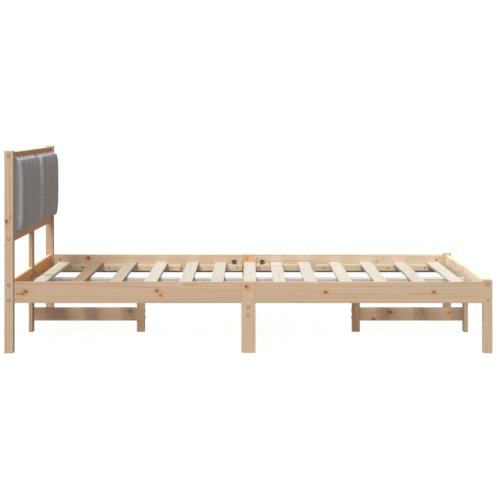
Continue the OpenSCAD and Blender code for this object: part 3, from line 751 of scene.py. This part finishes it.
def cushion_form(side):
    low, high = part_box(f"cushion_{side}")
    half_width, half_height = (high.y - low.y) / 2, (high.z - low.z) / 2
    middle = Vector((low.x, (low.y + high.y) / 2, (low.z + high.z) / 2))
    bm = bmesh.new()
    across_of = bm.verts.layers.float.new("across")
    along_of = bm.verts.layers.float.new("along")
    sharp = bm.edges.layers.float.new("crease_edge")
    bmesh.ops.create_grid(bm, x_segments=COLUMNS, y_segments=ROWS, size=0.5)
    pinned = set()
    for vert in bm.verts:
        column = round((vert.co.x + 0.5) * COLUMNS)
        channel = column // CHANNEL_COLUMNS
        in_channel = crowded(column / CHANNEL_COLUMNS - channel, COLUMN_CROWDING)
        across = 2 * (channel + in_channel) / CHANNELS - 1
        along = 2 * crowded(vert.co.y + 0.5, ROW_CROWDING) - 1
        vert[across_of], vert[along_of] = across, along
        vert.co = middle + Vector(front_place(across, along, half_width, half_height))
        if column % CHANNEL_COLUMNS == 0:
            pinned.add(vert)
    edge = [e for e in bm.edges if e.is_boundary]
    pinned.update(v for e in edge for v in e.verts)
    for number, (forward, inset) in enumerate(RINGS):
        made = bmesh.ops.extrude_edge_only(bm, edges=edge)["geom"]
        edge = [e for e in made if isinstance(e, bmesh.types.BMEdge) and e.is_boundary]
        for vert in {v for e in edge for v in e.verts}:
            vert.co.x = middle.x + forward
            vert.co.y = middle.y + vert[across_of] * (half_width - inset)
            vert.co.z = middle.z + vert[along_of] * (half_height - inset)
            pinned.add(vert)
        if number >= FIRST_SHARP_RING:
            for e in edge:
                e[sharp] = 1.0
    bmesh.ops.contextual_create(bm, geom=edge)
    bmesh.ops.recalc_face_normals(bm, faces=bm.faces)
    return bm, pinned, across_of, along_of, (half_width, half_height)


bm, pinned, *_ = cushion_form("left")
print(f"cushion: {len(bm.faces)} faces, {len(pinned)} of {len(bm.verts)} points held, "
      f"{sum(not e.is_manifold for e in bm.edges)} open edges, {round(bm.calc_volume() * 1e6)} ml")
bm.free()

# %% [markdown]
# ## Stuffing a cushion
# The foam pushes the fabric out between the seams. Cloth with air pressure inside does the same:
# the seams and the edge are pinned, gravity is off, and twenty frames are enough for the channels
# to swell. The fabric is cut a little large, which puckers it along the seams. No point may move
# further than the foam would let it, so the move is eased off towards a limit.

# %% Fabric map and stuffing
STUFFING = 0.0038
PRESSURE = 4.0
FRAMES = 20
# The map follows the front down to this depth below the crests, and the cushion's sides from there
MAPPED_FRONT = 0.012


def flat_map(bm, across_of, along_of, halves):
    """Lays the fabric's own map on a form: metres across and along, past the front's edge too."""
    layer = bm.loops.layers.uv.new("fabric")
    top = max(v.co.x for v in bm.verts)
    for face in bm.faces:
        for loop in face.loops:
            vert = loop.vert
            across, along = vert[across_of], vert[along_of]
            back = max(0.0, top - MAPPED_FRONT - vert.co.x)
            u = across * halves[0] + (math.copysign(back, across) if abs(across) > 0.999 else 0.0)
            v = along * halves[1] + (math.copysign(back, along) if abs(along) > 0.999 else 0.0)
            loop[layer].uv = (u, v)


def stuff(piece, pinned):
    """Blows the piece up between its pinned points, and keeps the result in its mesh."""
    held = piece.vertex_groups.new(name="held")
    held.add(pinned, 1.0, "REPLACE")
    cloth = piece.modifiers.new("Cloth", "CLOTH")
    cloth.settings.quality = 6
    cloth.settings.mass = 0.3
    cloth.settings.tension_stiffness = 12
    cloth.settings.compression_stiffness = 12
    cloth.settings.bending_stiffness = 0.3
    cloth.settings.shrink_min = -0.02
    cloth.settings.use_pressure = True
    cloth.settings.uniform_pressure_force = PRESSURE
    cloth.settings.vertex_group_mass = "held"
    cloth.settings.effector_weights.gravity = 0.0
    cloth.collision_settings.use_collision = False
    cloth.point_cache.frame_start = 1
    cloth.point_cache.frame_end = FRAMES
    for number in range(1, FRAMES + 1):
        bpy.context.scene.frame_set(number)
    shaped = piece.evaluated_get(bpy.context.evaluated_depsgraph_get())
    moved = [v.co.copy() for v in shaped.data.vertices]
    piece.modifiers.remove(cloth)
    furthest = 0.0
    for vert, place in zip(piece.data.vertices, moved):
        move = place - vert.co
        if move.length > 1e-7:
            furthest = max(furthest, move.length)
            vert.co += move.normalized() * STUFFING * math.tanh(move.length / STUFFING)
    bpy.context.scene.frame_set(1)
    return furthest


cushions = {}
for side in ("left", "right"):
    bm, pinned, across_of, along_of, halves = cushion_form(side)
    flat_map(bm, across_of, along_of, halves)
    bm.verts.index_update()
    held = [v.index for v in pinned]
    mesh = bpy.data.meshes.new(f"padding_{side}")
    bm.to_mesh(mesh)
    bm.free()
    mesh.polygons.foreach_set("use_smooth", [True] * len(mesh.polygons))
    piece = bpy.data.objects.new(f"padded_cushion_{side}", mesh)
    bpy.context.scene.collection.objects.link(piece)
    furthest = stuff(piece, held)
    smooth = piece.modifiers.new("Smooth", "SUBSURF")
    smooth.levels = smooth.render_levels = 1
    smooth.use_limit_surface = False
    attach(piece, "root")
    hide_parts(f"cushion_{side}")
    cushions[side] = piece
    swelled = f"swelled {1000 * furthest:.1f} mm before the limit"
    print(f"{piece.name}: {len(mesh.vertices)} points, {swelled}")

# %% [markdown]
# ## Fabric
# The cover is a plain weave of grey melange yarn. Its threads cross over and under each other every 1.3
# mm: a sine across each thread makes it round, and the product of both sines says which one is on top.
# Every thread has its own shade, from a noise that is stretched along it. Where the weave is low,
# between the threads, the colour is painted darker as painted shade. The weave follows the fabric's own
# map, so it bends with the channels, and a little sheen stands for its fuzz. Along the inner seams the
# fabric is painted darker again, as painted shade in the creases.


# %% Fabric
THREAD_SPACING = 0.0013


def fabric_finish():
    material, tree, surface, _ = finish_named("grey_melange")
    cloth = add(tree, "ShaderNodeUVMap", uv_map="fabric").outputs[0]
    parts = add(tree, "ShaderNodeSeparateXYZ", {0: cloth}).outputs
    pitch = math.pi / THREAD_SPACING
    across = maths(tree, "SINE", maths(tree, "MULTIPLY", parts["X"], pitch))
    along = maths(tree, "SINE", maths(tree, "MULTIPLY", parts["Y"], pitch))
    upright_on_top = fade(tree, maths(tree, "MULTIPLY", across, along), -0.15, 0.15)
    upright = maths(tree, "ABSOLUTE", across)
    crossing = maths(tree, "ABSOLUTE", along)
    height = add(tree, "ShaderNodeMix", {0: upright_on_top, 2: crossing, 3: upright}).outputs[0]
    light_yarn, dark_yarn = screen(213, 210, 211), screen(177, 174, 175)
    warp = noise(tree, cloth, (1538.0, 22.0, 1.0), detail=2.0).outputs["Fac"]
    weft = noise(tree, cloth, (22.0, 1538.0, 1.0), (7.0, 3.0, 0.0), detail=2.0).outputs["Fac"]
    shade = add(tree, "ShaderNodeMix", {0: upright_on_top, 2: weft, 3: warp}).outputs[0]
    colour = mix(tree, fade(tree, shade, 0.3, 0.7), dark_yarn, light_yarn)
    specks = noise(tree, cloth, (900.0, 900.0, 1.0), detail=3.0, roughness=0.7).outputs["Fac"]
    colour = mix(tree, fade(tree, specks, 0.55, 0.75, 0.0, 0.35), colour, screen(128, 126, 127))
    # Painted shade between the threads: where the weave is low, the colour is darkened towards a dark
    # grey.
    gaps = fade(tree, height, 0.0, 0.5, 0.45, 0.0)
    colour = mix(tree, gaps, colour, screen(102, 100, 100))
    low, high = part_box("cushion_left")
    half_width = (high.y - low.y) / 2
    from_edge = maths(tree, "ADD", parts["X"], half_width)
    from_seam = maths(tree, "PINGPONG", from_edge, half_width / CHANNELS)
    inner = fade(tree, maths(tree, "ABSOLUTE", parts["X"]), 0.9 * half_width, 0.8 * half_width)
    # Painted shade in the creases: the fabric is darkened within about 24 mm of each inner seam, but
    # not near the cushion's outer sides.
    crease_shade = maths(tree, "MULTIPLY", fade(tree, from_seam, 0.024, 0.004, 0.0, 0.5), inner)
    colour = mix(tree, crease_shade, colour, screen(84, 82, 82))
    tree.links.new(colour, surface.inputs["Base Color"])
    surface.inputs["Roughness"].default_value = 0.9
    surface.inputs["Specular IOR Level"].default_value = 0.05
    surface.inputs["Sheen Weight"].default_value = 0.15
    surface.inputs["Sheen Roughness"].default_value = 0.5
    surface.inputs["Sheen Tint"].default_value = screen(220, 214, 210)
    relief = add(tree, "ShaderNodeBump", {"Strength": 0.5, "Distance": 0.0004, "Height": height})
    tree.links.new(relief.outputs[0], surface.inputs["Normal"])
    return material


melange = fabric_finish()
for piece in cushions.values():
    piece.data.materials.append(melange)
print(f"cushions covered in grey melange, {1 / THREAD_SPACING:.0f} threads to the metre")

# %% [markdown]
# ## Stitches
# The four inner seams are lockstitched in a matching thread. A stitch shows as a short, plump
# dash, here a small ball drawn out to 3.2 mm. It is repeated every 4.5 mm down each seam, and each
# one is dropped on the cover with a ray from the front, so that it lies on the surface.

# %% Stitches
THREAD = screen(180, 176, 174)
STITCH_PITCH = 0.0045
STITCH_RADII = (0.00045, 0.0004, 0.0016)
STITCH_LIFT = 0.0001
SEAM_END_GAP = 0.004


def thread_finish():
    material, tree, surface, place = finish_named("thread")
    twist = add(tree, "ShaderNodeMapping", {"Vector": place, "Rotation": (0.6, 0.0, 0.0)}).outputs[0]
    ply = noise(tree, twist, (900.0, 900.0, 2600.0), detail=1.0).outputs["Fac"]
    colour = mix(tree, fade(tree, ply, 0.4, 0.65), screen(156, 152, 150), THREAD)
    tree.links.new(colour, surface.inputs["Base Color"])
    surface.inputs["Roughness"].default_value = 0.7
    surface.inputs["Specular IOR Level"].default_value = 0.2
    relief = add(tree, "ShaderNodeBump", {"Strength": 0.4, "Distance": 0.0002, "Height": ply})
    tree.links.new(relief.outputs[0], surface.inputs["Normal"])
    return material


def one_stitch():
    ball = bmesh.new()
    bmesh.ops.create_icosphere(ball, subdivisions=2, radius=1.0)
    bmesh.ops.scale(ball, vec=STITCH_RADII, verts=ball.verts)
    mesh = bpy.data.meshes.new("stitch")
    ball.to_mesh(mesh)
    ball.free()
    return mesh


def seam_stitches(side, cover):
    """One mesh with the stitches of all four inner seams of a cushion."""
    low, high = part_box(f"cushion_{side}")
    shaped = cover.evaluated_get(bpy.context.evaluated_depsgraph_get())
    stitch = one_stitch()
    bm = bmesh.new()
    count = 0
    for seam in range(1, CHANNELS):
        y = low.y + (high.y - low.y) * seam / CHANNELS
        z = low.z + SEAM_END_GAP
        while z < high.z - SEAM_END_GAP:
            found, hit, normal, _ = shaped.ray_cast(Vector((0.0, y, z)), Vector((-1.0, 0.0, 0.0)))
            if found and normal.x > 0.25:
                down = normal.cross(Vector((0.0, 1.0, 0.0))).normalized()
                sideways = down.cross(normal).normalized()
                frame_of_stitch = Matrix((sideways, normal, down)).transposed().to_4x4()
                frame_of_stitch.translation = hit + STITCH_LIFT * normal
                stitch.transform(frame_of_stitch)
                bm.from_mesh(stitch)
                stitch.transform(frame_of_stitch.inverted())
                count += 1
            z += STITCH_PITCH
    bpy.data.meshes.remove(stitch)
    return bm, count


def finished_piece(name, bm, material):
    """Makes a smooth-shaded object of a bmesh that rides on the frame."""
    bmesh.ops.recalc_face_normals(bm, faces=bm.faces)
    mesh = bpy.data.meshes.new(name)
    bm.to_mesh(mesh)
    bm.free()
    mesh.polygons.foreach_set("use_smooth", [True] * len(mesh.polygons))
    mesh.materials.append(material)
    piece = bpy.data.objects.new(name, mesh)
    bpy.context.scene.collection.objects.link(piece)
    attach(piece, "root")
    return piece


thread = thread_finish()
for side, cover in cushions.items():
    bm, count = seam_stitches(side, cover)
    finished_piece(f"seam_stitches_{side}", bm, thread)
    print(f"{count} stitches on the {side} cushion")

# %% [markdown]
# ## Behind the cushions
# The fabric is folded over the back of the plywood and stapled. The rails cover its upper and
# lower edge, so between them only the two upright margins show: thin strips with a frayed, wavy
# inner edge, each held by a row of wire staples with a flat crown.


# %% Fabric margins and staples
MARGIN = 0.024
RAIL_GAP = 0.002
# How far the strip's front and back are meant to lie behind the board
STRIP_FRONT = 0.0002
STRIP_BACK = 0.0010
# The distance that solidify is given
LAYERS_APART = 0.0006
FRAY = 0.0012
STAPLE = (0.0007, 0.0012, 0.0100)
STAPLE_ROUNDING = 0.0003
STAPLE_LIFT = 0.0003
STAPLE_INSET = 0.014
STAPLE_SPACING = 0.031
# Least gaps to the rails below and above a row of staples
GAP_BELOW = 0.012
GAP_ABOVE = 0.01


def margin_strip(y_edge, y_frayed, z_low, z_high, x_board, phase):
    """A thin sheet on the back of the board, from the board's edge to its own frayed one.

    Known fault: solidify goes by the normals from before the points were moved, so both layers end
    up at STRIP_BACK, and the strip looks black. A bm.normal_update() before solidify puts it right.
    """
    bm = bmesh.new()
    bmesh.ops.create_grid(bm, x_segments=6, y_segments=40, size=0.5)
    layer = bm.loops.layers.uv.new("fabric")
    for vert in bm.verts:
        part, up = vert.co.x + 0.5, vert.co.y + 0.5
        wave = FRAY * math.sin(40 * up + phase) * part
        y = y_edge + (y_frayed - y_edge) * part + wave
        vert.co = (x_board - STRIP_FRONT, y, z_low + (z_high - z_low) * up)
    for face in bm.faces:
        for loop in face.loops:
            loop[layer].uv = (loop.vert.co.y, loop.vert.co.z)
    bmesh.ops.solidify(bm, geom=bm.faces, thickness=LAYERS_APART)
    halfway = min(v.co.x for v in bm.verts) + LAYERS_APART / 2
    for vert in bm.verts:
        vert.co.x = x_board - (STRIP_BACK if vert.co.x < halfway else STRIP_FRONT)
    return bm


def staple(bm, spot, x_back):
    """A wire staple seen from behind: a flat crown with rounded edges."""
    made = bmesh.ops.create_cube(bm, size=1.0)["verts"]
    bmesh.ops.scale(bm, vec=STAPLE, verts=made)
    edges = list({e for v in made for e in v.link_edges})
    bmesh.ops.bevel(bm, geom=edges, offset=STAPLE_ROUNDING, segments=2, profile=0.5, affect="EDGES",
                    material=-1)
    still_at_origin = [v for v in bm.verts if v.co.length < 0.02]
    bmesh.ops.translate(bm, vec=(x_back - STAPLE_LIFT, *spot), verts=still_at_origin)


staples = 0
for side in ("left", "right"):
    low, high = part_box(f"cushion_board_{side}")
    rail_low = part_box("headboard_lower_rail")[1].z + RAIL_GAP
    rail_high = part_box("headboard_top_rail")[0].z - RAIL_GAP
    rng = random.Random(f"margin {side}")
    edges = (("first", low.y, low.y + MARGIN), ("second", high.y, high.y - MARGIN))
    for edge, y_edge, y_frayed in edges:
        bm = margin_strip(y_edge, y_frayed, rail_low, rail_high, low.x, rng.uniform(0, 6))
        margin = finished_piece(f"fabric_margin_{side}_{edge}", bm, melange)
    bm = bmesh.new()
    for y in (low.y + STAPLE_INSET, high.y - STAPLE_INSET):
        z = rail_low + GAP_BELOW
        while z < rail_high - GAP_ABOVE:
            spot = (y + rng.uniform(-0.002, 0.002), z + rng.uniform(-0.003, 0.003))
            staple(bm, spot, low.x - STRIP_BACK)
            staples += 1
            z += STAPLE_SPACING
    finished_piece(f"staples_{side}", bm, zinc)
print(f"four fabric margins, {staples} staples")
